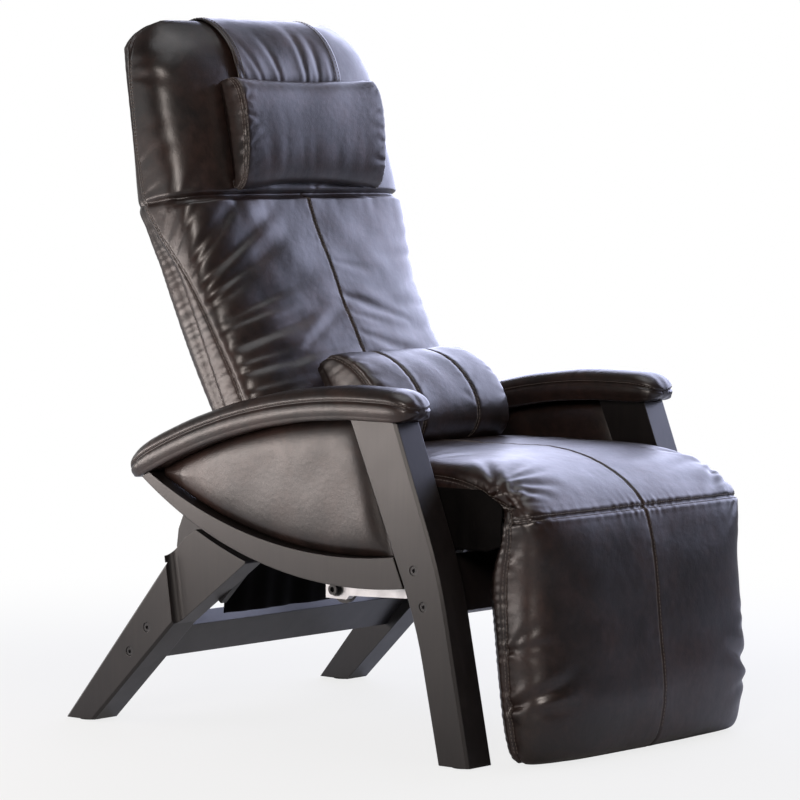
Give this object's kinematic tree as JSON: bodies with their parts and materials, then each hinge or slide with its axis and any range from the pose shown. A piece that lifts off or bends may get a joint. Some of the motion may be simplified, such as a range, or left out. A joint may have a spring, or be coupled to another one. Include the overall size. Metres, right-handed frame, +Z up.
{
  "type": "zero gravity recliner",
  "caption": "Upholstered power recliner with a curved wooden frame, tilting seat, reclining back with head section, lifting leg rest, and movable head and lumbar pillows.",
  "frame": {"origin": "on the floor, at the centre of the bounding box's base", "axes": "+Z up, -Y the way the sitter faces, +X the sitter's left"},
  "size_m": [0.704, 0.9773, 1.1534],
  "materials": {
    "wood": "satin espresso lacquer",
    "leather": "semi-gloss dark brown leather",
    "plywood": "raw",
    "bright_steel": "satin",
    "black_steel": "powder coat",
    "black_plastic": "matte"
  },
  "bodies": {
    "base": {"front_leg_right": "wood", "front_leg_left": "wood", "rear_leg_right": "wood", "rear_leg_left": "wood", "lap_plate_right": "black_steel", "lap_plate_left": "black_steel", "side_rail_right": "wood", "side_rail_left": "wood", "arm_board_right": "wood", "arm_board_left": "wood", "arm_pad_right": "leather", "arm_pad_left": "leather", "side_panel_right": "leather", "side_panel_left": "leather", "front_cross_rail": "wood", "rear_cross_rail": "wood", "frame_bolts": "black_steel", "floor_glides": "black_plastic", "pivot_rail_right": "bright_steel", "pivot_rail_left": "bright_steel", "pivot_bolt_right": "black_steel", "pivot_bolt_left": "black_steel", "actuator_bracket": "bright_steel"},
    "seat": {"seat_plate_right": "black_steel", "seat_plate_left": "black_steel", "seat_skirt_right": "leather", "seat_skirt_left": "leather", "seat_front_tube": "black_steel", "seat_rear_tube": "black_steel", "seat_deck": "plywood", "seat_cushion": "leather", "tilt_clevis": "bright_steel", "control_box": "black_plastic", "leg_drive": "black_plastic", "back_drive": "black_plastic"},
    "leg_rest": {"leg_shaft": "black_steel", "leg_stile_right": "black_steel", "leg_stile_left": "black_steel", "leg_lower_bar": "black_steel", "leg_board": "plywood", "leg_cushion": "leather"},
    "back": {"back_shaft": "black_steel", "back_stile_right": "black_steel", "back_stile_left": "black_steel", "back_mid_tube": "black_steel", "back_top_tube": "black_steel", "back_board": "plywood", "head_board": "plywood", "back_cushion": "leather", "head_cushion": "leather", "back_side_right": "leather", "back_side_left": "leather", "back_panel": "leather", "head_panel": "leather"},
    "actuator": {"actuator_body": "black_plastic", "actuator_motor": "black_plastic"},
    "rod": {"actuator_rod": "bright_steel"},
    "head_rest": {"head_pillow": "leather", "head_flap": "leather"},
    "lumbar": {"lumbar_pillow": "leather"}
  },
  "joints": [
    {"name": "seat_tilt", "type": "hinge", "parent": "base", "child": "seat", "pos_m": [0, -0.052, 0.248], "axis": [-1, 0, 0], "range_deg": [0, 28]},
    {"name": "back_recline", "type": "hinge", "parent": "seat", "child": "back", "pos_m": [0, 0.12, 0.345], "axis": [-1, 0, 0], "range_deg": [0, 8.5]},
    {"name": "leg_lift", "type": "hinge", "parent": "seat", "child": "leg_rest", "pos_m": [0, -0.35, 0.357], "axis": [-1, 0, 0], "range_deg": [0, 50.1]},
    {"name": "actuator_swing", "type": "hinge", "parent": "base", "child": "actuator", "pos_m": [0, -0.212, 0.296], "axis": [-1, 0, 0], "range_deg": [0, 3.8]},
    {"name": "rod_slide", "type": "slide", "parent": "actuator", "child": "rod", "axis": [0, 0.9907, 0.1362], "range_m": [0, 0.032]},
    {"name": "head_slide", "type": "slide", "parent": "back", "child": "head_rest", "axis": [0, 0.1045, 0.9945], "range_m": [-0.025, 0.045], "deforming": ["head_flap"]},
    {"name": "lumbar_slide", "type": "slide", "parent": "back", "child": "lumbar", "axis": [0, 0.454, 0.891], "range_m": [0, 0.08]}
  ],
  "couplings": [
    {"joint": "back_recline", "follows": "seat_tilt", "ratio": 0.3},
    {"joint": "leg_lift", "follows": "seat_tilt", "ratio": 1.7857},
    {"joint": "actuator_swing", "follows": "seat_tilt", "ratio": 0.1333},
    {"joint": "rod_slide", "follows": "seat_tilt", "m_per_rad": 0.06517}
  ]
}
